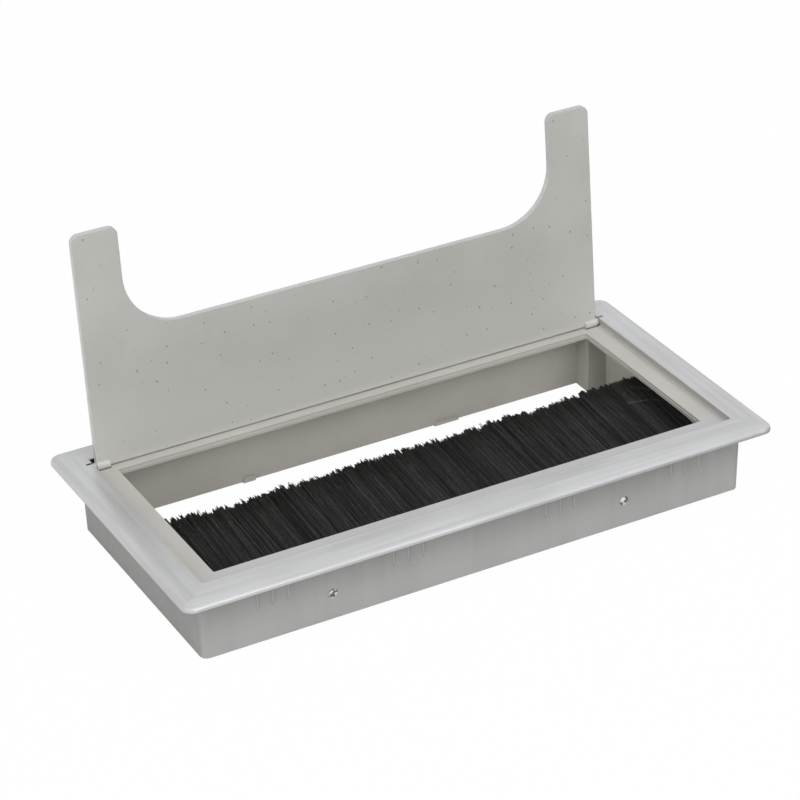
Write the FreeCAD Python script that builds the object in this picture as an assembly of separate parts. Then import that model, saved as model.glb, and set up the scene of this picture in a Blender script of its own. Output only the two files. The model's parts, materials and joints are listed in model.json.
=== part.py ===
import FreeCAD, Part
import math
import os

# Brush cable grommet: a die-cast frame that drops into a desk cut-out, a lid
# with a cable notch hinged along its back edge, and a strip brush across the
# front of the opening. Millimetres. X runs along the grommet, Y from its
# front to its back, Z up. The origin is at the centre of the skirt's foot,
# and the lid stands open.

V = FreeCAD.Vector
UP = V(0, 0, 1)
ORIGIN = V(0, 0, 0)

# Frame: flange with a crowned border
flange_length = 160.0
flange_width = 80.0
flange_corner_radius = 3.0
flange_thickness = 2.2
rim_thickness = 1.3
rim_top_radius = 1.2
rim_bottom_radius = 0.25
crown_width = 4.9
border_flat = 3.0

# Frame: recess for the lid and the ledge inside it
recess_depth = 1.8
recess_corner_radius = 0.8
recess_foot_radius = 0.7
ledge_width = 5.5
ledge_thickness = 1.5
opening_corner_radius = 0.3
lip_step = 0.2
lip_step_depth = 0.7

# Frame: skirt below the flange
flange_overhang = 5.75
skirt_depth = 17.4
skirt_wall = 1.5
skirt_corner_radius = 2.0
skirt_draft_deg = 1.0
post_length = 5.5
post_width = 6.0

# Frame: crush ribs that grip the desk cut-out, in groups of three
rib_group_outer = 56.5
rib_group_inner = 20.8
rib_group_shift = 0.9
rib_pitch = 4.0
rib_width = 0.9
rib_height = 0.35
rib_length = 8.7
rib_lead = 1.6
root_depth = 0.5

# Frame: what is left of the casting gates inside the back wall
gate_places = ((-29.5, 3.4, 1.4), (27.5, 7.0, 0.9))
gate_depth = 0.7
gate_break = 0.7

# Lid and its hinge
lid_thickness = 1.6
lid_side_gap = 0.9
lid_front_gap = 1.5
lid_rest_gap = 0.05
prong_width = 12.0
prong_tip_radius = 2.2
notch_depth = 27.7
notch_radius = 14.3
open_lean_deg = 4.3
stop_gap = 0.03
heel_round = 0.6
lid_edge_round = 0.25
hinge_inset = 2.1
hinge_rise = 0.7
knuckle_radius = 1.3
knuckle_length = 3.4
knuckle_gap = 0.15
shoulder_radius = 0.9
end_play = 0.15
pin_radius = 0.55
pin_running_gap = 0.05
pin_in_lid = 3.0
pin_in_frame = 1.5
pin_end_gap = 0.1
stake_slot_width = 0.7

# Strip brush and its two rivets
brush_height = 7.0
channel_height = 5.0
channel_depth = 4.5
channel_wall = 0.8
channel_mouth = 2.4
channel_end_gap = 0.3
bristle_gap = 0.05
core_radius = 0.5
core_gap = 0.02
core_inset = 1.2
rivet_place = 40.0
rivet_radius = 0.8
rivet_gap = 0.02
rivet_head_radius = 1.3
rivet_head_height = 0.45
stake_radius = 1.15
stake_sink = 0.4
stake_dome = 0.3
stake_gap = 0.12

# Bristles beyond the channel's mouth
bristle_reach = 36.5
bristle_top_rise = 4.0
bristle_bottom_rise = 1.8
tuft_count = 62
tuft_gap = 0.5
tuft_gap_start = 0.35
tuft_scatter = 1.1
tuft_waves = ((0.6, 2.4, 0.0), (0.4, 5.1, 1.0))
tuft_bevels = (1.2, 0.7)

# Heights and half sizes that the pieces share
flange_under = skirt_depth
flange_top = flange_under + flange_thickness
ledge_top = flange_top - recess_depth
ledge_under = ledge_top - ledge_thickness
border_width = crown_width + border_flat
recess_length = flange_length - 2 * border_width
recess_width = flange_width - 2 * border_width
opening_length = recess_length - 2 * ledge_width
opening_width = recess_width - 2 * ledge_width
skirt_length = flange_length - 2 * flange_overhang
skirt_width = flange_width - 2 * flange_overhang
cavity_length = skirt_length - 2 * skirt_wall
cavity_width = skirt_width - 2 * skirt_wall
skirt_setback = skirt_depth * math.tan(math.radians(skirt_draft_deg))

# Hinge axis and the lid in its closed place
axis_y = recess_width / 2 - hinge_inset
axis_z = ledge_top + hinge_rise
lid_under = ledge_top + lid_rest_gap
lid_top = lid_under + lid_thickness
lid_half = recess_length / 2 - lid_side_gap
lid_front = -recess_width / 2 + lid_front_gap
lean = math.radians(open_lean_deg)
lid_heel = (hinge_rise - stop_gap - (lid_top - axis_z) * math.sin(lean)) / math.cos(lean)
lid_rear = axis_y + lid_heel

# Brush channel against the front wall
wall_inside = -cavity_width / 2
channel_half = cavity_length / 2 - channel_end_gap
mouth_y = wall_inside + channel_depth


def line(start, end):
    return Part.makeLine(start, end)


def arc(point, radius, first_deg, last_deg):
    """Edge of a circle; point(angle, radius) gives its points."""
    angles = (first_deg, (first_deg + last_deg) / 2, last_deg)
    ends = [point(math.radians(angle), radius) for angle in angles]
    return Part.Arc(*ends).toShape()


def block(x0, x1, y0, y1, z0, z1):
    return Part.makeBox(x1 - x0, y1 - y0, z1 - z0, V(x0, y0, z0))


def both_ends(shape):
    """The shape and its mirror image at the other end of the grommet."""
    return [shape, shape.mirror(ORIGIN, V(1, 0, 0))]


def front_and_back(shape):
    return [shape, shape.mirror(ORIGIN, V(0, 1, 0))]


def rounded_wire(length, width, radius, z):
    """Outline of a rectangle with round corners, level at z."""
    corners = ((1, 1, 0), (-1, 1, 90), (-1, -1, 180), (1, -1, 270))
    arcs = []
    for side_x, side_y, start in corners:
        centre = V(side_x * (length / 2 - radius), side_y * (width / 2 - radius), z)

        def point(angle, size, centre=centre):
            return centre + V(size * math.cos(angle), size * math.sin(angle), 0)

        arcs.append(arc(point, radius, start, start + 90))
    edges = []
    for here, after in zip(arcs, arcs[1:] + arcs[:1]):
        edges.append(here)
        edges.append(line(here.Vertexes[-1].Point, after.Vertexes[0].Point))
    return Part.Wire(edges)


def rounded_block(length, width, radius, z0, z1):
    face = Part.Face(rounded_wire(length, width, radius, z0))
    return face.extrude(V(0, 0, z1 - z0))


def border_section(half_size):
    """Upright face from the flange's middle to its rim: crown, rim and foot."""
    drop = flange_thickness - rim_thickness
    crown_radius = (crown_width ** 2 + drop ** 2) / (2 * drop)
    crown_x = half_size - crown_width
    crown_z = flange_top - crown_radius
    rim_x = half_size - rim_top_radius
    inner = crown_radius - rim_top_radius
    rim_z = crown_z + math.sqrt(inner ** 2 - (rim_x - crown_x) ** 2)
    meet_deg = math.degrees(math.atan2(rim_z - crown_z, rim_x - crown_x))
    foot_x = half_size - rim_bottom_radius
    foot_z = flange_under + rim_bottom_radius

    def around(x, z):
        return lambda angle, size: V(x + size * math.cos(angle), 0, z + size * math.sin(angle))

    edges = [
        line(V(0, 0, flange_under), V(foot_x, 0, flange_under)),
        arc(around(foot_x, foot_z), rim_bottom_radius, -90, 0),
        line(V(half_size, 0, foot_z), V(half_size, 0, rim_z)),
        arc(around(rim_x, rim_z), rim_top_radius, 0, meet_deg),
        arc(around(crown_x, crown_z), crown_radius, meet_deg, 90),
        line(V(crown_x, 0, flange_top), V(0, 0, flange_top)),
        line(V(0, 0, flange_top), V(0, 0, flange_under)),
    ]
    return Part.Face(Part.Wire(edges))


def crowned_bar(half_size, run):
    """Border section on both sides, run level along Y."""
    half = border_section(half_size).extrude(V(0, run, 0))
    half.translate(V(0, -run / 2, 0))
    return half.fuse(half.mirror(ORIGIN, V(1, 0, 0)))


def flange_corner():
    """Quarter turn of the border section round one corner of the flange."""
    section = border_section(flange_width / 2)
    section.translate(V(flange_corner_radius - flange_width / 2, 0, 0))
    reach = flange_corner_radius
    section = section.common(block(0, reach, -reach, reach, 0, flange_top))
    turned = section.revolve(ORIGIN, UP, 90)
    turned.translate(V(flange_length / 2 - reach, flange_width / 2 - reach, 0))
    return turned


def flange():
    along = crowned_bar(flange_length / 2, flange_width)
    across = crowned_bar(flange_width / 2, flange_length)
    across.rotate(ORIGIN, UP, 90)
    plate = along.common(across)
    x = flange_length / 2
    y = flange_width / 2
    r = flange_corner_radius
    square = block(x - r, x, y - r, y, flange_under, flange_top)
    for half in both_ends(square):
        for corner in front_and_back(half):
            plate = plate.cut(corner)
    for half in both_ends(flange_corner()):
        for corner in front_and_back(half):
            plate = plate.fuse(corner)
    return plate.removeSplitter()


def skirt():
    """Tapered block below the flange, narrowest at its foot."""
    x = skirt_length / 2
    y = skirt_width / 2
    foot_x = x - skirt_setback
    foot_y = y - skirt_setback
    block = Part.makeWedge(-foot_x, 0, -foot_y, -y, -x, foot_x, skirt_depth, foot_y, y, x)
    block.rotate(ORIGIN, V(1, 0, 0), 90)
    corners = [edge for edge in block.Edges if edge.BoundBox.ZLength > skirt_depth / 2]
    return block.makeFillet(skirt_corner_radius, corners)


def cavity():
    """Space inside the skirt, less a square post in each back corner."""
    x = cavity_length / 2
    y = cavity_width / 2
    space = block(-x, x, -y, y, 0, ledge_under)
    post = block(x - post_length, x, y - post_width, y, 0, ledge_under)
    return space.cut(both_ends(post))


def recess():
    """Space for the closed lid, rounded along its foot."""
    space = rounded_block(recess_length, recess_width, recess_corner_radius, ledge_top, flange_top)
    foot = [edge for edge in space.Edges if edge.BoundBox.ZMax < ledge_top + 0.01]
    return space.makeFillet(recess_foot_radius, foot)


def opening():
    """Cable opening through the ledge, a step wider at its top."""
    through = rounded_block(
        opening_length, opening_width, opening_corner_radius, ledge_under, flange_top
    )
    step = rounded_block(
        opening_length + 2 * lip_step,
        opening_width + 2 * lip_step,
        opening_corner_radius + lip_step,
        ledge_top - lip_step_depth,
        flange_top,
    )
    return through.fuse(step)


def crush_rib(x):
    """Upright rib with a sharp crest that fades out at its lower end."""
    wall = -skirt_width / 2
    slope = rib_width / 2 / rib_height

    def section(z, height):
        half = slope * (height + root_depth)
        left = V(x - half, wall + root_depth, z)
        right = V(x + half, wall + root_depth, z)
        crest = V(x, wall - height, z)
        return Part.makePolygon([left, crest, right, left])

    low = flange_under - rib_length
    sections = [
        section(flange_under + root_depth, rib_height),
        section(low + rib_lead, rib_height),
        section(low, -root_depth / 2),
    ]
    return Part.makeLoft(sections, True, True)


def crush_ribs():
    ribs = []
    for group in (-rib_group_outer, -rib_group_inner, rib_group_inner, rib_group_outer):
        for step in (-1, 0, 1):
            rib = crush_rib(group + rib_group_shift + step * rib_pitch)
            ribs += front_and_back(rib)
    return ribs


def gate_stubs():
    """Broken-off casting gates on the foot of the back wall."""
    front = cavity_width / 2 - gate_depth
    stubs = []
    for x, width, height in gate_places:
        left = x - width / 2
        right = x + width / 2
        outline = [
            V(left, front, 0),
            V(right, front, 0),
            V(right, front, height),
            V(left + gate_break, front, height),
            V(left, front, height - gate_break),
        ]
        face = Part.Face(Part.makePolygon(outline + outline[:1]))
        stubs.append(face.extrude(V(0, gate_depth + root_depth, 0)))
    return stubs


def hinge_pocket():
    """Room for one knuckle in the ledge, and the bearing of its pin."""
    end = recess_length / 2
    inner = lid_half - knuckle_length - knuckle_gap
    room = knuckle_radius + knuckle_gap
    pocket = block(inner, end, axis_y - room, recess_width / 2, axis_z - room, flange_top)
    depth = pin_in_frame + pin_end_gap
    bore = Part.makeCylinder(
        pin_radius + pin_running_gap, depth, V(end, axis_y, axis_z), V(1, 0, 0)
    )
    half_slot = stake_slot_width / 2
    slot = block(end, end + depth, axis_y - half_slot, axis_y + half_slot, axis_z, flange_top)
    return pocket.fuse(bore).fuse(slot)


def rivet_waist():
    """Depth, from the front wall's inner face, at which a rivet starts to spread."""
    outside = -skirt_width / 2 + skirt_setback * (1 - brush_height / skirt_depth)
    return wall_inside - outside - stake_sink


def rivet_hole():
    """Hole through the front wall with a countersink for the staked end."""
    start = V(rivet_place, wall_inside, brush_height)
    out = V(0, -1, 0)
    shank = rivet_radius + rivet_gap
    spread = stake_radius + stake_gap - shank
    drill = Part.makeCylinder(shank, skirt_wall, start, out)
    sink = Part.makeCone(
        shank, shank + 2 * spread, 2 * stake_sink, start + out * rivet_waist(), out
    )
    return drill.fuse(sink)


def frame():
    body = flange().fuse(skirt())
    body = body.cut(cavity())
    body = body.cut(recess())
    body = body.cut(opening())
    body = body.fuse(crush_ribs() + gate_stubs())
    body = body.cut(both_ends(hinge_pocket()))
    body = body.cut(both_ends(rivet_hole()))
    return body.removeSplitter()


def lid_plate():
    """Flat plate with a heel rounded about the hinge."""
    heel_z = lid_under + heel_round
    heel_y = lid_rear - heel_round

    def point(angle, size):
        return V(0, heel_y + size * math.cos(angle), heel_z + size * math.sin(angle))

    edges = [
        line(V(0, lid_front, lid_under), V(0, heel_y, lid_under)),
        arc(point, heel_round, -90, 0),
        line(V(0, lid_rear, heel_z), V(0, lid_rear, lid_top)),
        line(V(0, lid_rear, lid_top), V(0, lid_front, lid_top)),
        line(V(0, lid_front, lid_top), V(0, lid_front, lid_under)),
    ]
    plate = Part.Face(Part.Wire(edges)).extrude(V(2 * lid_half, 0, 0))
    plate.translate(V(-lid_half, 0, 0))
    return plate


def lid_notch():
    """Cable notch in the lid's front edge, with wide inside corners."""
    half = lid_half - prong_width
    foot = lid_front + notch_depth
    start = lid_front - notch_radius
    tool = rounded_block(2 * half, 2 * (foot - start), notch_radius, lid_under, lid_top)
    tool.translate(V(0, start, 0))
    return tool


def upright_edges(shape, y, inside):
    """Upright edges of the shape at one y, outside or inside the notch."""
    found = []
    for edge in shape.Edges:
        box = edge.BoundBox
        level = abs(box.YMin - y) + abs(box.YMax - y) < 0.01
        thin = box.XLength < 0.01 and box.ZLength > lid_thickness / 2
        outer = abs(box.XMin) > lid_half - 0.01
        if level and thin and outer != inside:
            found.append(edge)
    return found


def knuckle():
    """Barrel under the lid's corner, bored for the pin, with a shoulder at its end."""
    start = lid_half - knuckle_length
    barrel = Part.makeCylinder(knuckle_radius, knuckle_length, V(start, axis_y, axis_z), V(1, 0, 0))
    reach = lid_side_gap - end_play
    shoulder = Part.makeCylinder(shoulder_radius, reach, V(lid_half, axis_y, axis_z), V(1, 0, 0))
    above = block(
        start, lid_half + reach, axis_y - knuckle_radius, axis_y + knuckle_radius,
        lid_top, lid_top + knuckle_radius,
    )
    return barrel.fuse(shoulder).cut(above)


def stand_open(shape):
    """Turn what is drawn closed to the open lid's place."""
    shape.rotate(V(0, axis_y, axis_z), V(1, 0, 0), -90 - open_lean_deg)
    return shape


def outline_edges(plate):
    """Edges round the lid's two faces, apart from the working edges of its heel."""
    found = []
    for edge in plate.Edges:
        box = edge.BoundBox
        flat = box.ZLength < 0.01
        heel = box.YMin > lid_rear - heel_round - 0.01
        if flat and not heel:
            found.append(edge)
    return found


def lid():
    plate = lid_plate().cut(lid_notch())
    for inside in (False, True):
        plate = plate.makeFillet(prong_tip_radius, upright_edges(plate, lid_front, inside))
    plate = plate.makeFillet(lid_edge_round, outline_edges(plate))
    plate = plate.fuse(both_ends(knuckle()))
    bore_end = V(lid_half - pin_in_lid, axis_y, axis_z)
    bore = Part.makeCylinder(pin_radius, recess_length, bore_end, V(1, 0, 0))
    plate = plate.cut(both_ends(bore))
    return stand_open(plate.removeSplitter())


def hinge_pin():
    length = pin_in_lid + lid_side_gap + pin_in_frame
    start = V(lid_half - pin_in_lid, axis_y, axis_z)
    return Part.makeCylinder(pin_radius, length, start, V(1, 0, 0))


def channel_block(y0, y1, height):
    z0 = brush_height - height / 2
    return block(-channel_half, channel_half, y0, y1, z0, z0 + height)


def brush_channel():
    """Folded strip whose lips are crimped onto the bristles."""
    web = wall_inside + channel_wall
    lips = mouth_y - channel_wall
    channel = channel_block(wall_inside, mouth_y, channel_height)
    channel = channel.cut(channel_block(web, lips, channel_height - 2 * channel_wall))
    channel = channel.cut(channel_block(lips, mouth_y, channel_mouth))
    hole = Part.makeCylinder(
        rivet_radius + rivet_gap, channel_wall, V(rivet_place, wall_inside, brush_height), V(0, 1, 0)
    )
    return channel.cut(both_ends(hole))


def brush_rivet():
    """Rivet through the channel's web and the front wall, staked outside."""
    web = -channel_wall
    head = web - rivet_head_height
    waist = rivet_waist()
    outside = waist + stake_sink
    dome_radius = (stake_radius ** 2 + stake_dome ** 2) / (2 * stake_dome)
    dome_centre = outside + stake_dome - dome_radius
    edge_deg = math.degrees(math.asin(stake_radius / dome_radius))

    def at(radius, depth):
        return V(radius, -depth, 0)

    def dome(angle, size):
        return at(size * math.sin(angle), dome_centre + size * math.cos(angle))

    edges = [
        line(at(0, head), at(rivet_head_radius, head)),
        line(at(rivet_head_radius, head), at(rivet_head_radius, web)),
        line(at(rivet_head_radius, web), at(rivet_radius, web)),
        line(at(rivet_radius, web), at(rivet_radius, waist)),
        line(at(rivet_radius, waist), at(stake_radius, outside)),
        arc(dome, dome_radius, edge_deg, 0),
        line(at(0, outside + stake_dome), at(0, head)),
    ]
    rivet = Part.Face(Part.Wire(edges)).revolve(ORIGIN, V(0, 1, 0), 360)
    rivet.translate(V(rivet_place, wall_inside, brush_height))
    return rivet


def core_y():
    return wall_inside + channel_wall + rivet_head_height + core_inset


def core_wire():
    """Wire that the bristles are folded round."""
    start = V(-channel_half, core_y(), brush_height)
    return Part.makeCylinder(core_radius, 2 * channel_half, start, V(1, 0, 0))


def comb_outline():
    """Seen from above: tufts of uneven length."""
    root = channel_half - bristle_gap
    points = [V(root, mouth_y, 0), V(-root, mouth_y, 0)]
    for tuft in range(tuft_count):
        left = 2 * tuft / tuft_count - 1
        right = 2 * (tuft + 1) / tuft_count - 1
        wave = sum(share * math.sin(turn * tuft + start) for share, turn, start in tuft_waves)
        end = mouth_y + bristle_reach + tuft_scatter * wave
        points.append(V(left * root + tuft_gap / 2, end - tuft_bevels[0], 0))
        points.append(V((left + right) / 2 * root, end, 0))
        points.append(V(right * root - tuft_gap / 2, end - tuft_bevels[1], 0))
        if tuft < tuft_count - 1:
            points.append(V(right * root, mouth_y + bristle_reach * tuft_gap_start, 0))
    return Part.Face(Part.makePolygon(points + points[:1]))


def bristles():
    """Folded bundle in the channel and the combed sheet in front of it."""
    back = wall_inside + channel_wall + rivet_head_height + bristle_gap
    lips = mouth_y - channel_wall - bristle_gap
    root = channel_half - bristle_gap
    high = channel_height / 2 - channel_wall - bristle_gap
    neck = channel_mouth / 2 - bristle_gap
    bundle = block(-root, root, back, lips, brush_height - high, brush_height + high)
    throat = block(-root, root, lips, mouth_y, brush_height - neck, brush_height + neck)
    far = mouth_y + bristle_reach + tuft_scatter
    side = [
        V(0, mouth_y, brush_height - neck),
        V(0, far, brush_height - neck + bristle_bottom_rise),
        V(0, far, brush_height + neck + bristle_top_rise),
        V(0, mouth_y, brush_height + neck),
    ]
    wedge = Part.Face(Part.makePolygon(side + side[:1])).extrude(V(flange_length, 0, 0))
    wedge.translate(V(-flange_length / 2, 0, 0))
    sheet = wedge.common(comb_outline().extrude(V(0, 0, flange_under)))
    bore_start = V(-channel_half, core_y(), brush_height)
    bore = Part.makeCylinder(core_radius + core_gap, 2 * channel_half, bore_start, V(1, 0, 0))
    return bundle.fuse([throat, sheet]).cut(bore).removeSplitter()


def pair(shape, name):
    """The same piece at the right and left ends, as two nodes."""
    right, left = both_ends(shape)
    return {name + "_left": left, name + "_right": right}


parts = {
    "frame": frame(),
    "lid": lid(),
    "brush_channel": brush_channel(),
    "brush_bristles": bristles(),
    "brush_core_wire": core_wire(),
}
parts.update(pair(hinge_pin(), "hinge_pin"))
parts.update(pair(brush_rivet(), "brush_rivet"))

for name, shape in parts.items():
    solids = shape.Solids
    print(name, len(solids), "solid", round(shape.Volume, 2), "mm3", shape.isValid())
    body = solids[0] if len(solids) == 1 else shape
    body.exportStep("parts/" + name + ".step")
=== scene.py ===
# %% [markdown]
# # Dressing a brush cable grommet
#
# A brush cable grommet fills a cut-out in a desk. Its die-cast frame drops into the hole, a strip
# brush closes most of the opening, and a hinged lid with a wide notch covers the rest. The
# construction is finished and arrives here as fixed nodes: this lesson gives it its looks. It makes
# the filaments of the brush, the paint with its pits and faint streaks, the bare metal inside, and
# a bright, soft setting like that of a catalogue picture.
#
# Everything is in metres. X runs along the grommet, Y from its brush side to its hinge side, Z up.

# %% Load the construction
import json
import math

import bpy
import numpy as np
from mathutils import Matrix, Vector


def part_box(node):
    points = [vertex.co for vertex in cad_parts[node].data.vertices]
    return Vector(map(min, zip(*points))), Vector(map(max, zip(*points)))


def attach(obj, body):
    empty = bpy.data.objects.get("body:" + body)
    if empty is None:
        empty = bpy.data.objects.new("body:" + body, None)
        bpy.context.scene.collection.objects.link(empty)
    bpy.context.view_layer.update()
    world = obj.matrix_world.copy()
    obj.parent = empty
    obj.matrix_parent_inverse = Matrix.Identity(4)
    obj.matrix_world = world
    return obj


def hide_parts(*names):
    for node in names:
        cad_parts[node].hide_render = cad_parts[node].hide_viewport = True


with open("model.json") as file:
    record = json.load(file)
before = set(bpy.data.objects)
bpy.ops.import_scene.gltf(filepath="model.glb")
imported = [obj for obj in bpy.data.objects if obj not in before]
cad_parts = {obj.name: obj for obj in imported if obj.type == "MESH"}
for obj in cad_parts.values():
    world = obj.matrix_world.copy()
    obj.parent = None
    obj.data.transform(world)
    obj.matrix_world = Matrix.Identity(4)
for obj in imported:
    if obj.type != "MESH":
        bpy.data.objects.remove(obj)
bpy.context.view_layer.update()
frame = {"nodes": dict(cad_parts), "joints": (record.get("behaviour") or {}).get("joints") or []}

MM = 0.001
nodes = frame["nodes"]
bpy.ops.object.select_all(action="DESELECT")
print("nodes:", ", ".join(sorted(nodes)))

# %% [markdown]
# ## Camera
#
# The picture was taken from the brush side, a little to the left and from above, with a long lens:
# lines that run away from the viewer hardly converge. A camera with a focal length of about
# 140 mm on a 36 mm sensor gives the same flat perspective. Its place is measured from the middle of
# the grommet's foot, and its direction is written as the three angles that a photographer would
# name: how far it looks round to the right, how far down, and how far it is rolled.

# %% Set up the camera
CAMERA_PLACE = (-307.85 * MM, -578.83 * MM, 402.6 * MM)
LOOKS_RIGHT = math.radians(27.782)
LOOKS_DOWN = math.radians(29.568)
ROLLED = math.radians(-1.745)
FOCAL_LENGTH_IN_MM = 139.46
SENSOR_WIDTH_IN_MM = 36
FARTHEST_SEEN = 20

bpy.ops.object.camera_add(location=CAMERA_PLACE)
camera = bpy.context.object
turn = Matrix.Rotation(-LOOKS_RIGHT, 3, "Z")
tip_down = Matrix.Rotation(math.pi / 2 - LOOKS_DOWN, 3, "X")
camera.rotation_euler = (turn @ tip_down @ Matrix.Rotation(ROLLED, 3, "Z")).to_euler()
camera.data.sensor_width = SENSOR_WIDTH_IN_MM
camera.data.lens = FOCAL_LENGTH_IN_MM
camera.data.clip_end = FARTHEST_SEEN
bpy.context.scene.camera = camera
print("camera stands", round(camera.location.length, 3), "m from the grommet's foot")

# %% [markdown]
# ## Mixing finishes
#
# A finish is a network of nodes. Written out by hand, each sum in it takes several lines, so a few
# small helpers do the typing. `Signal` is one value that changes over a surface. It knows how to be
# added, subtracted, multiplied and compared, and each of those adds one Math node.

# %% One value over a surface
class Signal:
    """A value that changes over a surface: one output socket of a network."""

    def __init__(self, network, socket):
        self.network = network
        self.socket = socket

    def math(self, operation, first, second=None):
        sockets = {0: first} if second is None else {0: first, 1: second}
        return self.network.node("Math", {"operation": operation}, sockets)

    def __add__(self, other):
        return self.math("ADD", self, other)

    def __radd__(self, other):
        return self.math("ADD", other, self)

    def __sub__(self, other):
        return self.math("SUBTRACT", self, other)

    def __rsub__(self, other):
        return self.math("SUBTRACT", other, self)

    def __mul__(self, other):
        return self.math("MULTIPLY", self, other)

    def __rmul__(self, other):
        return self.math("MULTIPLY", other, self)

    def __gt__(self, other):
        return self.math("GREATER_THAN", self, other)

    def __lt__(self, other):
        return self.math("LESS_THAN", self, other)

    def larger(self, other):
        return self.math("MAXIMUM", self, other)

    def size(self):
        return self.math("ABSOLUTE", self)

    def rise(self, start, end):
        """0 below start, 1 above end, and a smooth climb between them."""
        settings = {"interpolation_type": "SMOOTHSTEP"}
        sockets = {"Value": self, "From Min": start, "From Max": end}
        return self.network.node("MapRange", settings, sockets)

    def beside(self, name):
        """Another output of the node that this signal comes from."""
        return Signal(self.network, self.socket.node.outputs[name])


# %% [markdown]
# `Network` is a tree of nodes. Its `node` adds any node, sets its settings first and its sockets
# second, and returns its output as a `Signal`. The others are short names for what a paint needs:
# the place of a point, soft noise, a blend of two colours, and a relief.

# %% A tree of nodes
class Network:
    """A tree of nodes, and short names for those that the finishes need."""

    def __init__(self, tree):
        self.tree = tree

    def node(self, kind, settings=None, sockets=None, output=0):
        made = self.tree.nodes.new("ShaderNode" + kind)
        for name, value in (settings or {}).items():
            setattr(made, name, value)
        for name, value in (sockets or {}).items():
            self.feed(made.inputs[name], value)
        return Signal(self, made.outputs[output])

    def feed(self, socket, value):
        if isinstance(value, Signal):
            self.tree.links.new(value.socket, socket)
        else:
            socket.default_value = value

    def background_rays(self):
        """1 for rays that show the background: seen directly, mirrored or through glass."""
        seen = self.node("LightPath", output="Is Camera Ray")
        return seen.larger(seen.beside("Is Glossy Ray")).larger(seen.beside("Is Transmission Ray"))

    def place(self):
        """The point being shaded, as the object's own coordinates in metres."""
        return self.node("TexCoord", output="Object")

    def axes(self, vector):
        """X, Y and Z of a vector as three signals."""
        first = self.node("SeparateXYZ", sockets={0: vector})
        return first, first.beside("Y"), first.beside("Z")

    def point(self, x, y, z):
        return self.node("CombineXYZ", sockets={0: x, 1: y, 2: z})

    def noise(self, where, grain, detail=2.0):
        """Soft random value around 0.5 whose spots are about one grain wide, in metres."""
        sockets = {"Vector": where, "Scale": 1 / grain, "Detail": detail}
        return self.node("TexNoise", sockets=sockets)

    def blend(self, share, first, second):
        """Colour that goes from first to second as share goes from 0 to 1."""
        # The node has sockets for each kind of value. Those of colours are 6 and 7, and output 2.
        settings = {"data_type": "RGBA"}
        return self.node("Mix", settings, {0: share, 6: first, 7: second}, output=2)

    def bump(self, height, depth):
        """Normal of a relief whose height signal is worth depth metres."""
        return self.node("Bump", sockets={"Height": height, "Distance": depth, "Strength": 1.0})


# %% [markdown]
# `Finish` is the network of a material, and `dress` puts it on nodes of the construction. The
# paints of this part are nearly neutral, so `grey` mixes them from a level and two small shares
# that say how warm and how green they are.

# %% Finishes and greys
class Finish(Network):
    """The network of a material, starting from a Principled shader."""

    def __init__(self, name):
        self.material = bpy.data.materials.new(name)
        self.material.use_nodes = True
        super().__init__(self.material.node_tree)
        self.shader = self.tree.nodes["Principled BSDF"]

    def surface(self, **sockets):
        """Feeds the shader; Base_Color stands for the socket Base Color."""
        for name, value in sockets.items():
            self.feed(self.shader.inputs[name.replace("_", " ")], value)


def grey(level, warmth=0.0, green=0.0):
    """Grey of one level. Warmth puts blue below red by a share, and green puts green above red."""
    return (level, level * (1 + green - warmth / 3), level * (1 - warmth), 1)


def dress(finish, *names):
    """Gives nodes of the construction a finish."""
    for name in names:
        mesh = nodes[name].data
        mesh.materials.clear()
        mesh.materials.append(finish.material)
    print(finish.material.name, "on", ", ".join(names))


print("a warm grey of level 0.5:", [round(part, 3) for part in grey(0.5, 0.03)])

# %% [markdown]
# ## Paint on the frame
#
# The frame is a zinc casting under one coat of silver-grey paint, and the coat isn't the same
# everywhere. The borders that show above the desk were ground and sprayed with care: they are
# smooth and neutral, with faint streaks along each side that meet on the mitre of the corner.
# The recess for the lid is a little warmer and duller. The skirt, which hides in the desk, kept
# the skin of the casting: darker, warmer and rough, with faint lines where the die was drawn off.
# Its grey is darker still at the top, as painted shade under the flange, and lighter at the foot,
# as painted light thrown up by the floor.
#
# Each zone is a signal that is 1 inside the zone and 0 elsewhere, found from the distance to the
# recess and from the height. The paint then goes from one grey to the next with them. The sizes
# come first: what can be is worked out from the frame's box, the strip's box and the hinge.

# %% Sizes of the frame's zones
frame_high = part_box("frame")[1]
strip_low, strip_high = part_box("brush_channel")
BORDER = 7.9 * MM
FLANGE_HEIGHT = 2.2 * MM
RECESS_DEPTH = 1.8 * MM
LEDGE_THICKNESS = 1.5 * MM
SKIRT_WALL = 1.5 * MM
RIB_HEIGHT = 0.35 * MM
STRIP_CLEARANCE = 0.3 * MM
FOOT_SHADE_WIDTH = 1.7 * MM
FRONT_LEDGE_Y = -24 * MM
FRONT_LEDGE_FADE = 3 * MM
RECESS_HALF_LENGTH = frame_high.x - BORDER
RECESS_HALF_WIDTH = frame_high.y - BORDER
FLANGE_FOOT = frame_high.z - FLANGE_HEIGHT
LEDGE_TOP = frame_high.z - RECESS_DEPTH
LEDGE_FOOT = LEDGE_TOP - LEDGE_THICKNESS
CAVITY_HALF_LENGTH = strip_high.x + STRIP_CLEARANCE
CAVITY_HALF_WIDTH = -strip_low.y
SKIRT_HALF_WIDTH = CAVITY_HALF_WIDTH + SKIRT_WALL
print("recess, mm:", round(2 * RECESS_HALF_LENGTH / MM, 1), "x", round(2 * RECESS_HALF_WIDTH / MM, 1))
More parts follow.
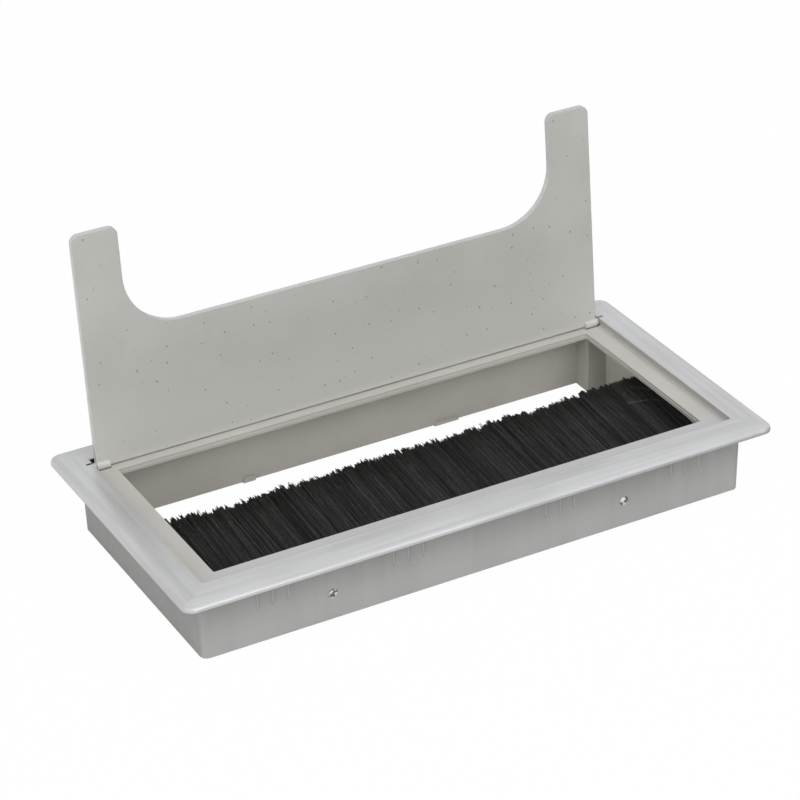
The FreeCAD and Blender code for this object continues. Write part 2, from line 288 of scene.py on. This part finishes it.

# %% [markdown]
# The lid hangs on two short pins. Each lies in a bearing with a slot over it, and behind the slot
# the knuckle's heel has a small corner to turn in. At the left hinge both lie in deep shadow, which
# is painted into them as a dark mark, so they are written down as small rectangles: the place of the
# middle, and half the size. The lid closes flat, so what its swing has past 90 degrees is how far it
# leans back when it is open.

# %% Sizes of the hinge
hinge = frame["joints"][0]
HINGE_Y, HINGE_Z = hinge["pos_m"][1:]
LEANS_BACK = math.radians(hinge["range_deg"][1] - 90)
PIN_SLOT = (-72.9 * MM, HINGE_Y)
PIN_SLOT_HALF = (0.85 * MM, 0.45 * MM)
HEEL_CORNER = (-72.2 * MM, 31.8 * MM)
HEEL_CORNER_HALF = (1.7 * MM, 0.6 * MM)
POCKET_DEPTH = 0.25 * MM
print("open, the lid leans back by", round(math.degrees(LEANS_BACK), 1), "degrees")


# %% Distances and rectangles
def outside_of(x, y, half_length, half_width):
    """How far a point lies outside a rectangle round the grommet's middle."""
    return (x.size() - half_length).larger(y.size() - half_width)


def within(x, y, middle, half_size):
    """1 inside a small rectangle, and 0 elsewhere."""
    return ((x - middle[0]).size() < half_size[0]) * ((y - middle[1]).size() < half_size[1])


# %% Find the zones
frame_paint = Finish("frame_paint")
where = frame_paint.place()
x, y, z = frame_paint.axes(where)
past_recess = outside_of(x, y, RECESS_HALF_LENGTH, RECESS_HALF_WIDTH)
past_cavity = outside_of(x, y, CAVITY_HALF_LENGTH, CAVITY_HALF_WIDTH)
above = z.rise(FLANGE_FOOT - 0.1 * MM, FLANGE_FOOT + 0.1 * MM)
border = past_recess.rise(0.0, 0.4 * MM) * above
skirt = past_cavity.rise(0.5 * MM, 0.9 * MM) * (1 - above)
cavity_shade = (1 - z.rise(LEDGE_FOOT - 0.2 * MM, LEDGE_FOOT + 0.1 * MM)) * (1 - skirt)
recess_foot_shade = past_recess.rise(-FOOT_SHADE_WIDTH, -0.2 * MM) * (1 - border) * above
pin_slot = within(x, y, PIN_SLOT, PIN_SLOT_HALF)
heel_corner = within(x, y, HEEL_CORNER, HEEL_CORNER_HALF)
below_top = 1 - z.rise(frame_high.z - POCKET_DEPTH, frame_high.z - 0.1 * MM)
pocket_shadow = pin_slot.larger(heel_corner) * below_top
front_ledge = 1 - y.rise(FRONT_LEDGE_Y - FRONT_LEDGE_FADE, FRONT_LEDGE_Y)
rib_highlight = (y.size() - SKIRT_HALF_WIDTH).rise(0.3 * RIB_HEIGHT, 0.8 * RIB_HEIGHT) * (1 - above)
print("the zones took", len(frame_paint.tree.nodes), "nodes")

# %% [markdown]
# No paint is one even grey. Slow clouds and fine flecks vary it everywhere, and a skin as of an
# orange's peel covers what wasn't ground. Smooth paint has faint streaks, which are noise stretched
# far along one direction. The frame's border and the lid's outer face share that recipe.

# %% Noise and streaks
FRAME_CLOUDS, LID_CLOUDS = 18 * MM, 14 * MM
FLECKS = 0.35 * MM
PEEL = 0.6 * MM
RELIEF = 0.01 * MM
STREAKS = 1.4 * MM
STREAK_STRETCH = 0.03
DIE_LINES = 3 * MM
DIE_LINE_STRETCH = 0.05
SKIN_ROUGHNESS = 0.55


def streaks_along_x(paint, x, y, z):
    return paint.noise(paint.point(x * STREAK_STRETCH, y, z), STREAKS)


def streaks_along_sides(paint, x, y, z):
    """Streaks that run along the border's four sides and meet on the mitres."""
    on_ends = (x.size() - frame_high.x) > (y.size() - frame_high.y)
    along_x = streaks_along_x(paint, x, y, z)
    along_y = paint.noise(paint.point(x, y * STREAK_STRETCH, z), STREAKS)
    return along_x + on_ends * (along_y - along_x)


def smooth_share(clouds, streaks):
    """How far smooth paint goes from its lighter grey to its darker one."""
    return (clouds * 0.35 + streaks * 0.65).rise(0.3, 0.7)


def paint_roughness(smooth, streaks):
    """That of the casting's skin, and less where the paint is smooth."""
    return SKIN_ROUGHNESS - smooth * (0.27 - 0.06 * streaks)


# %% [markdown]
# Every zone is a pair of greys, and a share that says how far the paint goes from the lighter one
# to the darker one. A darker grey along the foot of the recess is painted shade, the slot and the
# heel's corner at the left hinge are painted near black as painted shadow, and the crush ribs are
# painted a little paler as a painted highlight.

# %% Lay the paint zone by zone
BORDER_GREY = (grey(0.595, -0.02), grey(0.505, -0.01))
LEDGE_GREY = (grey(0.535, 0.09), grey(0.505, 0.10))
FRONT_LEDGE_GREY = (grey(0.525), grey(0.50))
SHADED_CAVITY_GREY = (grey(0.475, 0.13), grey(0.435, 0.14))
SHADED_SKIRT_TOP_GREY = (grey(0.29, 0.04), grey(0.263, 0.05))
LIT_SKIRT_FOOT_GREY = (grey(0.405, 0.02), grey(0.376, 0.03))
FOOT_SHADE_GREY = grey(0.36, 0.09)
POCKET_SHADOW_GREY = grey(0.02)
RIB_HIGHLIGHT_GREY = grey(0.50, 0.03)

clouds = frame_paint.noise(where, FRAME_CLOUDS)
flecks = frame_paint.noise(where, FLECKS)
streaks = streaks_along_sides(frame_paint, x, y, z)
die_lines = frame_paint.noise(frame_paint.point(x, y, z * DIE_LINE_STRETCH), DIE_LINES)
even = (clouds * 0.7 + flecks * 0.3).rise(0.35, 0.65)
border_share = smooth_share(clouds, streaks)
skirt_share = (clouds * 0.45 + die_lines * 0.4 + flecks * 0.15).rise(0.35, 0.65)
colour = frame_paint.blend(even, *LEDGE_GREY)
colour = frame_paint.blend(front_ledge, colour, frame_paint.blend(even, *FRONT_LEDGE_GREY))
# The ledge is darker along the foot of the recess: painted shade.
colour = frame_paint.blend(recess_foot_shade * 0.6, colour, FOOT_SHADE_GREY)
# Below the ledge the walls take a warmer grey that is also darker: painted shade under the ledge.
colour = frame_paint.blend(cavity_shade, colour, frame_paint.blend(even, *SHADED_CAVITY_GREY))
# The skirt's grey goes from lighter at the foot to darker at the top: painted light and painted shade.
shaded_skirt_top = frame_paint.blend(skirt_share, *SHADED_SKIRT_TOP_GREY)
lit_skirt_foot = frame_paint.blend(skirt_share, *LIT_SKIRT_FOOT_GREY)
shaded_skirt_paint = frame_paint.blend(z.rise(0.0, FLANGE_FOOT), lit_skirt_foot, shaded_skirt_top)
colour = frame_paint.blend(skirt, colour, shaded_skirt_paint)
# The crush ribs are painted paler: a painted highlight.
colour = frame_paint.blend(rib_highlight * 0.4, colour, RIB_HIGHLIGHT_GREY)
colour = frame_paint.blend(border, colour, frame_paint.blend(border_share, *BORDER_GREY))
# The slot and the heel's corner at the left hinge are painted near black: painted shadow.
colour = frame_paint.blend(pocket_shadow, colour, POCKET_SHADOW_GREY)
peel = frame_paint.noise(where, PEEL)
frame_paint.surface(
    Base_Color=colour,
    Metallic=0.1 + border * 0.45 - skirt * 0.1,
    Roughness=paint_roughness(border, streaks),
    Normal=frame_paint.bump(peel * (1 - border) + skirt * (die_lines + flecks), RELIEF),
)
dress(frame_paint, "frame")

# %% [markdown]
# ## Paint on the lid
#
# The lid shows its underside, which has the same skin as the casting's hidden parts. Its grey has a
# touch of green, and gas in the casting left it full of pits. Its outer face and its edges, which
# show when it is closed, have the same smooth paint as the borders. A pit is a cell of a flat Voronoi
# pattern: the distance to the cell's centre gives a round spot, and the cell's own random colour
# decides whether it has one and how large it is. Pits come in clusters, so a slow noise raises the
# share of cells that have one. A coarse pattern gives the pits that catch the eye, and a fine one
# the pinpricks between them.

# %% Pits in a casting
def pits(paint, x, z, spacing, radius, share):
    """1 inside round pits of random size, and 0 elsewhere, in the plane of x and z."""
    flat = paint.point(x, z, 0.0)
    settings = {"voronoi_dimensions": "2D"}
    cells = paint.node("TexVoronoi", settings, {"Vector": flat, "Scale": 1 / spacing}, output="Distance")
    lot, second_lot = paint.axes(cells.beside("Color"))[:2]
    size = (0.5 + 0.5 * second_lot) * (radius / spacing)
    return (1 - cells.rise(0.5 * size, size)) * (lot < share)


# %% [markdown]
# The faces of the lid are told apart by the depth in its thickness. The lid leans back, so the
# depth is measured from a plane that leans with it. Below the knuckles' top the smooth paint stops
# short of them, because they keep the skin of the casting.

# %% Mix the lid's paint
LID_GREY = (grey(0.46, 0.06, 0.015), grey(0.43, 0.07, 0.015))
LIT_LID_FOOT_GREY = grey(0.53, 0.06, 0.015)
LIT_FOOT_FADE = 25 * MM
PIT_SHADE_GREY = grey(0.14)
PIT_CLUSTERS = 16 * MM
PIT_PITCH, PIT_RADIUS = 4.6 * MM, 0.38 * MM
PINPRICK_PITCH, PINPRICK_RADIUS = 3.1 * MM, 0.2 * MM
PINPRICK_SHIFT = 3 * MM
MID_LID_Y = HINGE_Y - 0.65 * MM
KNUCKLE_X, KNUCKLE_TOP = 66 * MM, 20 * MM

lid_paint = Finish("lid_paint")
where = lid_paint.place()
x, y, z = lid_paint.axes(where)
clouds = lid_paint.noise(where, LID_CLOUDS)
flecks = lid_paint.noise(where, FLECKS)
crowded = lid_paint.noise(where, PIT_CLUSTERS).rise(0.35, 0.7)
large_pits = pits(lid_paint, x, z, PIT_PITCH, PIT_RADIUS, 0.15 + 0.6 * crowded)
shifted = x + PINPRICK_SHIFT
pinpricks = pits(lid_paint, shifted, z, PINPRICK_PITCH, PINPRICK_RADIUS, 0.2 + 0.5 * crowded)
holes = large_pits.larger(0.7 * pinpricks)
lid_colour = lid_paint.blend((clouds * 0.6 + flecks * 0.4).rise(0.35, 0.65), *LID_GREY)
# The lid is painted lighter towards its foot: painted light.
foot = 1 - z.rise(frame_high.z, frame_high.z + LIT_FOOT_FADE)
lid_colour = lid_paint.blend(foot, lid_colour, LIT_LID_FOOT_GREY)
depth = y - MID_LID_Y - math.tan(LEANS_BACK) * (z - HINGE_Z)
over_knuckles = z.rise(KNUCKLE_TOP, KNUCKLE_TOP + 1 * MM)
between_knuckles = 1 - x.size().rise(KNUCKLE_X, KNUCKLE_X + 0.5 * MM)
outer = depth.rise(0.03 * MM, 0.2 * MM) * over_knuckles.larger(between_knuckles)
streaks = streaks_along_x(lid_paint, x, y, z)
outer_colour = lid_paint.blend(smooth_share(clouds, streaks), *BORDER_GREY)
lid_colour = lid_paint.blend(outer, lid_colour, outer_colour)
peel = lid_paint.noise(where, PEEL)
# The pits are real, and their dark grey is painted shade in them, beside their dent in the relief.
lid_paint.surface(
    Base_Color=lid_paint.blend(holes * 0.65 * (1 - outer), lid_colour, PIT_SHADE_GREY),
    Metallic=0.05 + outer * 0.5,
    Roughness=paint_roughness(outer, streaks),
    Normal=lid_paint.bump((peel - 5 * holes) * (1 - outer), RELIEF),
)
dress(lid_paint, "lid")

# %% [markdown]
# ## Rivets
#
# Each of the two rivets that hold the brush was staked with a punch. Its head is painted in
# spots of about a millimetre, bright painted highlights beside dark painted shade, and the dark
# spots are dented in the relief.

# %% Mix the rivet heads with painted highlights and shade
RIVET_SPOT_SIZE = 1.3 * MM
DENT_DEPTH = 0.1 * MM
RIVET_HIGHLIGHT_GREY, RIVET_SHADE_GREY = grey(0.75, 0.02), grey(0.16, 0.06)

rivet_finish = Finish("staked_rivet")
where = rivet_finish.place()
rivet_spots = rivet_finish.noise(where, RIVET_SPOT_SIZE, 1.0)
shaded_dent = rivet_spots.rise(0.5, 0.56)
rivet_finish.surface(
    Base_Color=rivet_finish.blend(shaded_dent, RIVET_HIGHLIGHT_GREY, RIVET_SHADE_GREY),
    Metallic=0.4,
    Roughness=0.4 + rivet_spots * 0.2,
    Normal=rivet_finish.bump(1 - shaded_dent, DENT_DEPTH),
)
dress(rivet_finish, "brush_rivet_left", "brush_rivet_right")

# %% [markdown]
# ## Bare metal
#
# The strip that holds the brush is folded from plain aluminium, and the pins and the core wire are
# zinc-plated steel. The left pin is painted dark as painted shadow, for it lies in the deep shade
# of its slot. Rolled and drawn metal has fine lines along its length, made here with noise that is
# stretched far along X. The lines change the roughness more than the colour.

# %% Mix the metals
DRAWN_LINES = 0.12 * MM
DRAWN_STRETCH = 0.02
DRAWN_RELIEF = 0.004 * MM
DULL_SPOTS = 4 * MM


def drawn_metal(name, colour, roughness):
    """Bare metal with fine lines along X."""
    metal = Finish(name)
    x, y, z = metal.axes(metal.place())
    lines = metal.noise(metal.point(x * DRAWN_STRETCH, y, z), DRAWN_LINES)
    dull = metal.noise(metal.place(), DULL_SPOTS)
    darker = tuple(0.8 * part for part in colour[:3]) + (1,)
    metal.surface(
        Base_Color=metal.blend(lines.rise(0.3, 0.7) * 0.5 + dull * 0.3, colour, darker),
        Metallic=1.0,
        Roughness=roughness + 0.15 * lines + 0.1 * dull,
        Normal=metal.bump(lines, DRAWN_RELIEF),
    )
    return metal


aluminium = drawn_metal("strip_aluminium", (0.62, 0.62, 0.62, 1), 0.28)
plated = drawn_metal("plated_steel", (0.58, 0.57, 0.55, 1), 0.22)
shadowed_pin = drawn_metal("shadowed_pin_steel", (0.10, 0.095, 0.09, 1), 0.3)
dress(aluminium, "brush_channel")
dress(plated, "brush_core_wire", "hinge_pin_right")
# The left pin is painted dark: painted shadow in its slot.
dress(shadowed_pin, "hinge_pin_left")

# %% [markdown]
# ## The brush
#
# The brush is thousands of nylon filaments, 0.2 mm thick and about 35 mm long, folded round a wire
# and crimped in the strip. From a step away they read as a dark, combed surface with fine streaks
# and a ragged edge. A texture on a block can't give that edge, so every filament here is real.
#
# One filament is modelled by hand: a three-sided cone whose long edges are subdivided, so that it
# can bend. Thousands of copies are then bent along their own paths. Each one starts in the strip's
# mouth, rises, and leans the way of its lock and its tuft. The random numbers start from a fixed
# seed, so the brush is the same each time.

# %% Model one filament
FILAMENT_RADIUS = 0.11 * MM
FILAMENT_CUTS = 4
TAPER = 0.85

bpy.ops.mesh.primitive_cone_add(
    vertices=3, radius1=1, radius2=TAPER, depth=1, end_fill_type="NGON", location=(0, 0, 0.5)
)
blank = bpy.context.object
blank.name = "filament_blank"
bpy.ops.object.transform_apply(location=True)
bpy.ops.object.mode_set(mode="EDIT")
bpy.ops.mesh.select_mode(type="EDGE")
bpy.ops.mesh.select_all(action="DESELECT")
bpy.ops.object.mode_set(mode="OBJECT")
for edge in blank.data.edges:
    ends = [blank.data.vertices[i].co.z for i in edge.vertices]
    edge.select = abs(ends[0] - ends[1]) > 0.5
bpy.ops.object.mode_set(mode="EDIT")
bpy.ops.mesh.subdivide(number_cuts=FILAMENT_CUTS)
bpy.ops.mesh.select_all(action="SELECT")
bpy.ops.mesh.quads_convert_to_tris()
bpy.ops.object.mode_set(mode="OBJECT")

blank_points = np.array([v.co for v in blank.data.vertices])
blank_faces = np.array([list(p.vertices) for p in blank.data.polygons])
print("one filament:", len(blank_points), "vertices and", len(blank_faces), "faces")
bpy.data.objects.remove(blank)

# %% [markdown]
# The brush takes its place from the node that it replaces. The strip's mouth says where the
# filaments start, and the node's box how far they may rise and spread. The blade that trimmed them
# wandered by about 3 mm: `TRIM_AT` and `TRIM` say at which X the tips lie at which Y.

# %% Measure the brush
brush_low, brush_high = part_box("brush_bristles")
MOUTH_Y = strip_high.y
ROOT_DEPTH = 0.7 * MM
ROOT_HALF = strip_high.x - 0.15 * MM
MID_Z = (strip_low.z + strip_high.z) / 2
ROOT_HALF_HEIGHT = 1.05 * MM
TIP_LOW = 1.2 * MM
TIP_HIGH = brush_high.z - MID_Z - 0.2 * MM
TRIM_AT = np.array([-72, -61, -52, -42, -33, -22, -10, 6, 20, 32, 41, 50, 60, 72]) * MM
TRIM = np.array([8.2, 7.9, 6.6, 6.2, 7.2, 6.8, 8.3, 7.4, 7.8, 8.7, 7.6, 8.5, 9.6, 9.6]) * MM
print("brush", round(2 * ROOT_HALF / MM, 1), "mm long, its tips at Y", round(TRIM.mean() / MM, 1), "mm")

# %% [markdown]
# A thousand objects are slow, and one mesh of a thousand filaments is not. `lay_filaments` puts a
# copy of the blank along each path, turned by its own angle so that no two catch the light alike, and
# keeps a tone with every filament, from which the nylon later takes its shade.

# %% Many filaments as one mesh
def lay_filaments(name, radius, centres, turns, tones, sideways=(1, 0, 0)):
    """One mesh of filaments; centres holds the middle of each at every point of the blank."""
    cos, sin = np.cos(turns)[:, None], np.sin(turns)[:, None]
    across = blank_points[None, :, 0] * cos - blank_points[None, :, 1] * sin
    up = blank_points[None, :, 0] * sin + blank_points[None, :, 1] * cos
    upright = np.array((0, 0, 1))
    offsets = across[:, :, None] * np.array(sideways) + up[:, :, None] * upright
    points = centres + radius * offsets
    starts = np.arange(len(centres)) * len(blank_points)
    faces = blank_faces[None, :, ::-1] + starts[:, None, None]
    mesh = bpy.data.meshes.new(name)
    mesh.from_pydata(points.reshape(-1, 3).tolist(), [], faces.reshape(-1, 3).tolist())
    mesh.polygons.foreach_set("use_smooth", np.ones(len(mesh.polygons), bool))
    tone = mesh.attributes.new("tone", "FLOAT", "POINT")
    tone.data.foreach_set("value", np.repeat(tones, len(blank_points)).astype(np.float32))
    piece = bpy.data.objects.new(name, mesh)
    bpy.context.scene.collection.objects.link(piece)
    print(name, len(centres), "filaments,", len(mesh.polygons), "triangles")
    return piece


# %% [markdown]
# What shows on a brush is order with small faults. Filaments lie side by side and nearly parallel,
# in strands, tufts and locks: members of a group share a habit, and each has a little of its own.
# Every few millimetres a lock leans its own way, which leaves a dark seam beside it. A few ends
# stand past the cut as spikes, and a few filaments stray from the rest.

# %% The faults of a brush
LOCK_PITCH = 5.5 * MM
LOCK_LEAN = 0.45 * MM
LOCK_WAVE = 7 * MM
TUFT_PITCH = 0.8 * MM
TUFT_LEAN = 0.15 * MM
TUFT_TRIM = 0.45 * MM
TUFT_LIFT = 0.1 * MM
STRAND_PITCH = 0.34 * MM
STRAND_LEAN = 0.2 * MM
STRAND_TRIM = 0.9 * MM
STRAND_TRIM_LIMITS = (-0.8 * MM, 1.5 * MM)
OWN_LEAN = 0.13 * MM
OWN_LIFT = 0.12 * MM
OWN_CURL = 0.14 * MM
SPIKE_SHARE = 0.05
SPIKE = 0.6 * MM
STRAY_SHARE = 0.012
STRAY_LIFT = 0.8 * MM
STRAY_LEAN = 1.2 * MM


def habits(rng, groups, spread):
    """One random number for each group, handed out to all of the group's members."""
    numbers, member_of = np.unique(groups, return_inverse=True)
    return rng.normal(0, spread, len(numbers))[member_of]


def faults(rng, root_x):
    """How far each filament leans, reaches, lifts and curls."""
    count = len(root_x)
    uneven = 0.3 * np.sin(root_x / LOCK_WAVE) + rng.normal(0, 0.03, count)
    lock = np.floor(root_x / LOCK_PITCH + uneven)
    tuft = np.floor(root_x / TUFT_PITCH)
    strand = np.floor(root_x / STRAND_PITCH)
    lean = habits(rng, lock, LOCK_LEAN) + habits(rng, tuft, TUFT_LEAN)
    lean = lean + habits(rng, strand, STRAND_LEAN) + rng.normal(0, OWN_LEAN, count)
    reach = np.interp(root_x, TRIM_AT, TRIM) - MOUTH_Y - np.abs(habits(rng, tuft, TUFT_TRIM))
    reach = reach + np.clip(habits(rng, strand, STRAND_TRIM), *STRAND_TRIM_LIMITS)
    spike = rng.random(count) < SPIKE_SHARE
    reach = reach + np.where(spike, SPIKE, -SPIKE) * rng.random(count) ** 1.5
    lift = habits(rng, tuft, TUFT_LIFT) + rng.normal(0, OWN_LIFT, count)
    stray = rng.random(count) < STRAY_SHARE
    lift = lift + np.where(stray, STRAY_LIFT * rng.random(count), 0)
    lean = lean + np.where(stray, rng.normal(0, STRAY_LEAN, count), 0)
    curl = rng.normal(0, OWN_CURL, count)
    return lean, reach, lift, curl


# %% [markdown]
# The tones follow the same idea. Filaments that lie close together share a painted sheen, and one
# in twenty is painted brighter than the rest.

# %% The tones of a brush
SHEEN_PITCH = 0.2 * MM
BRIGHT_SHARE = 0.05


def brush_tones(rng, root_x):
    """Tone of each filament, partly painted sheen: 0 is black, and more is paler."""
    count = len(root_x)
    bright = rng.random(count) < BRIGHT_SHARE
    sheen = np.floor(root_x / SHEEN_PITCH)
    tones = 0.1 * rng.random(count) + np.clip(habits(rng, sheen, 0.3), 0, 0.5)
    return tones + np.where(bright, rng.uniform(0.4, 0.8, count), 0)


# %% [markdown]
# A path goes from the strip's mouth to the tip. `t` is the way along it, from 0 to 1: the filament
# leans late, curls a little on the way, and rises early. The brush is laid in four layers from its
# underside to its top, most of them near the top, where they show. Two pale filaments broke off and
# lie across the right end: they are laid through three given points each.

# %% Comb the filaments
FALLEN_RADIUS = 0.06 * MM
FALLEN_TONE = 2.0


def comb(name, count, low, high, seed):
    """Filaments between two levels of the brush, 0 its underside and 1 its top."""
    rng = np.random.default_rng(seed)
    root_x = rng.uniform(-ROOT_HALF, ROOT_HALF, count)
    level = rng.uniform(low, high, count)
    lean, reach, lift, curl = faults(rng, root_x)
    root_z = MID_Z + (2 * level - 1) * ROOT_HALF_HEIGHT
    tip_z = MID_Z + TIP_LOW + level * (TIP_HIGH - TIP_LOW) + lift

    t = blank_points[None, :, 2]
    centre_x = root_x[:, None] + lean[:, None] * t ** 1.5 + curl[:, None] * np.sin(2.6 * t)
    centre_y = MOUTH_Y - ROOT_DEPTH + (reach + ROOT_DEPTH)[:, None] * t
    centre_z = root_z[:, None] + (tip_z - root_z)[:, None] * t ** 0.85
    centre_x = np.clip(centre_x, brush_low.x + 0.1 * MM, brush_high.x - 0.1 * MM)
    centres = np.stack([centre_x, centre_y, centre_z], axis=2)
    turns = rng.uniform(0, 2 * math.pi, count)
    return lay_filaments(name, FILAMENT_RADIUS, centres, turns, brush_tones(rng, root_x))


def fallen(name, *knots):
    """One pale filament that lies across the others, through a few points in millimetres."""
    shares = np.linspace(0, 1, len(knots))
    route = [np.interp(blank_points[:, 2], shares, axis) for axis in np.transpose(knots)]
    centres = np.stack(route, axis=1)[None] * MM
    turns, tones = np.zeros(1), np.array([FALLEN_TONE])
    return lay_filaments(name, FALLEN_RADIUS, centres, turns, tones, sideways=(0, 1, 0))


brush_pieces = [
    comb("brush_filaments_lower", 4500, 0.0, 0.4, 11),
    comb("brush_filaments_middle", 5500, 0.3, 0.8, 12),
    comb("brush_filaments_upper", 6000, 0.7, 1.0, 13),
    comb("brush_filaments_top", 6000, 0.85, 1.0, 14),
    fallen("fallen_filament_long", (61.9, -0.9, 11.7), (67.3, -1.8, 11.7), (71.2, -4.1, 11.4)),
    fallen("fallen_filament_short", (66.5, 5.2, 12.3), (68.5, 3.6, 12.2), (71.3, 0.9, 11.9)),
]

# %% [markdown]
# Black nylon is dark but not matt: each filament is a tiny cylinder with a soft line of light
# along it. A random tone per filament, partly a painted sheen, keeps the surface from looking like
# one sheet, fine noise breaks it into painted glints where filaments cross, and the tips and the
# right end are a little paler. A tone well above 1 makes a filament pale, as the two fallen ones are.

# %% Mix the nylon
BLACK_NYLON = (0.004, 0.004, 0.004, 1)
LIT_NYLON = (0.06, 0.057, 0.056, 1)
PALE_NYLON = (0.2, 0.195, 0.185, 1)
GLINTS = 0.3 * MM

nylon = Finish("black_nylon")
tone = nylon.node("Attribute", {"attribute_name": "tone"}, output="Fac")
where = nylon.place()
x, y = nylon.axes(where)[:2]
glints = nylon.noise(where, GLINTS, 0.0).rise(0.35, 0.65)
paler_tips = 0.12 * y.rise(-18 * MM, 6 * MM)
paler_to_the_right = 0.04 * x.rise(-70 * MM, 40 * MM)
paler_right_end = 0.3 * x.rise(58 * MM, 70 * MM)
paleness = paler_tips + paler_to_the_right + paler_right_end
# Sheen and glints in the share are painted highlights along the filaments.
share = tone * (0.2 + 2.2 * glints) + paleness
black_to_grey = nylon.blend(share, BLACK_NYLON, LIT_NYLON)
nylon.surface(
    Base_Color=nylon.blend(tone - 1, black_to_grey, PALE_NYLON),
    Roughness=0.42 + 0.15 * tone,
    Specular_IOR_Level=0.3,
)
for piece in brush_pieces:
    piece.data.materials.append(nylon.material)
    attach(piece, "frame")
    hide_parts("brush_bristles")

# %% [markdown]
# ## Setting
#
# The catalogue picture has a pure white ground. A real white floor would take shadow and look
# grey, so the floor is nearly all glow for the rays that show it, whether it is seen directly,
# mirrored or through glass. All other rays meet a plain white floor, which throws soft light up
# under the flange as the real one did. Where smooth paint mirrors the floor, it is darker close to
# the grommet, which stands in its own light, and towards the right, where the studio had no lamp.

# %% Lay the floor
FLOOR_LENGTH = 8
FLOOR_GAP = 0.01 * MM
GLOW_SHARE = 0.985
DARKER_TO_THE_RIGHT, DARKER_NEARBY = 0.7, 0.6
NEARBY = 35 * MM

bpy.ops.mesh.primitive_plane_add(size=FLOOR_LENGTH, location=(0, 0, -FLOOR_GAP))
floor = bpy.context.object
floor.name = "floor"
floor_finish = Finish("floor_white")
floor_finish.surface(Base_Color=(0.82, 0.82, 0.82, 1), Roughness=0.9)
background = floor_finish.background_rays()
mirrored = floor_finish.node("LightPath", output="Is Glossy Ray")
x, y = floor_finish.axes(floor_finish.place())[:2]
rightward = x.rise(-60 * MM, 90 * MM)
near = 1 - outside_of(x, y, CAVITY_HALF_LENGTH, CAVITY_HALF_WIDTH).rise(0.0, NEARBY)
strength = 1 - mirrored * (DARKER_TO_THE_RIGHT * rightward).larger(DARKER_NEARBY * near)
glow = floor_finish.node("Emission", sockets={"Color": (1, 1, 1, 1), "Strength": strength})
out = floor_finish.tree.nodes["Material Output"]
shaded = Signal(floor_finish, floor_finish.shader.outputs[0])
mixed = floor_finish.node("MixShader", sockets={0: background * GLOW_SHARE, 1: shaded, 2: glow})
floor_finish.feed(out.inputs["Surface"], mixed)
floor.data.materials.append(floor_finish.material)
print("floor laid", round(FLOOR_GAP / MM, 2), "mm below the skirt's foot")

# %% [markdown]
# The light is four large soft lamps in an even, pale surround: one overhead, one high in front, one
# low in front and one on the left. Together they are as bright as it takes for a grey to come out
# as it was mixed. Only the low one shows in smooth paint, where it gives the rounded front rim its
# line of light.

# %% Hang the lamps
def lamp(name, place, aim, size, watts, mirrored=False):
    """A square area lamp. Smooth paint mirrors it only when mirrored is set."""
    direction = Vector(aim) - Vector(place)
    turn = direction.to_track_quat("-Z", "Y").to_euler()
    bpy.ops.object.light_add(type="AREA", location=place, rotation=turn)
    light = bpy.context.object
    light.name = name
    light.data.size = size
    light.visible_glossy = mirrored
    light.data.energy = watts
    print(name, watts, "W at", place)


lamp("overhead_lamp", (0.15, -0.15, 1.3), (0, 0, 0), 1.0, 6.4)
lamp("front_lamp", (0.1, -0.9, 0.9), (0, 0, 0.02), 0.8, 5.2)
lamp("low_front_lamp", (0.08, -1.25, 0.47), (0, 0, 0.03), 0.92, 3.8, mirrored=True)
lamp("left_lamp", (-1.1, -0.35, 0.5), (0, 0, 0.03), 0.8, 4.9)

# %% [markdown]
# The surround has two brightnesses. One lights the part evenly and softly. The other is what shows
# in smooth paint and behind the part: white walls, with a slightly duller band part of the way up
# and a duller ceiling. The wall in front is dimmer on its right, so the line of light along the
# front rim fades towards that side. `height`, `right` and `back` go from -1 to 1 with the direction
# in which one looks.

# %% Paint the walls
SURROUND = 0.28
SURROUND_COLOUR = (0.98, 0.99, 1, 1)
BAND_DIMMING, CEILING_DIMMING, RIGHT_DIMMING = 0.1, 0.3, 0.4

world = bpy.data.worlds.new("surround")
bpy.context.scene.world = world
world.use_nodes = True
world.node_tree.nodes.clear()
sky = Network(world.node_tree)
surround = sky.node("Background", sockets={"Color": SURROUND_COLOUR, "Strength": SURROUND})
right, back, height = sky.axes(sky.node("TexCoord", output="Generated"))
over_band = height.rise(0.5, 0.7)
ceiling = height.rise(0.85, 1.0)
front_right = right.rise(0.36, 0.6) * (back < 0) * (1 - over_band)
wall_light = 1 - BAND_DIMMING * height.rise(0.2, 0.4) + BAND_DIMMING * over_band
wall_light = wall_light - CEILING_DIMMING * ceiling - RIGHT_DIMMING * front_right
backdrop = sky.node("Background", sockets={"Color": (1, 1, 1, 1), "Strength": wall_light})
background = sky.background_rays()
lit = sky.node("MixShader", sockets={0: background, 1: surround, 2: backdrop})
world_output = sky.tree.nodes.new("ShaderNodeOutputWorld")
sky.feed(world_output.inputs["Surface"], lit)
bpy.context.scene.view_settings.view_transform = "Standard"
print("surround of strength", SURROUND, "and walls of", len(sky.tree.nodes), "nodes")
